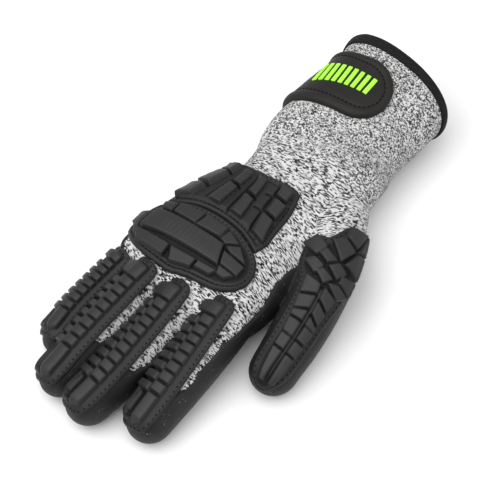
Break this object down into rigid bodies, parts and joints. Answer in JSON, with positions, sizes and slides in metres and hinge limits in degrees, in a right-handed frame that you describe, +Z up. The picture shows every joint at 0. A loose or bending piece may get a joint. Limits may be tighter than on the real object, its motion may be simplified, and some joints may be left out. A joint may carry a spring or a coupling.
{
  "type": "nitrile coated work glove",
  "caption": "Right-hand knitted work glove with a dipped nitrile palm, moulded rubber guards over the knuckles, fingers and thumb, a wrist tab and a bound hem.",
  "frame": {"origin": "the middle of the glove's outline seen from above, on the floor", "axes": "-Y the way the fingers point, +Y towards the cuff, +X to the thumb's side, +Z up from the palm to the back of the hand"},
  "size_m": [0.117, 0.2616, 0.0485],
  "materials": {
    "knit": "salt and pepper knit of cut-resistant yarn",
    "guard_rubber": "matte moulded rubber",
    "nitrile": "soft sheen dipped nitrile with a fine foam texture",
    "tab_rubber": "matte moulded rubber",
    "hem_tape": "woven elastic tape"
  },
  "bodies": {
    "root": {"knit_shell": "knit", "knuckle_guard": "guard_rubber", "metacarpal_guard": "guard_rubber", "little_guard": "guard_rubber", "ring_guard": "guard_rubber", "middle_guard": "guard_rubber", "index_guard": "guard_rubber", "thumb_guard": "guard_rubber", "palm_coating": "nitrile", "wrist_tab": "tab_rubber", "cuff_binding": "hem_tape"}
  },
  "joints": []
}
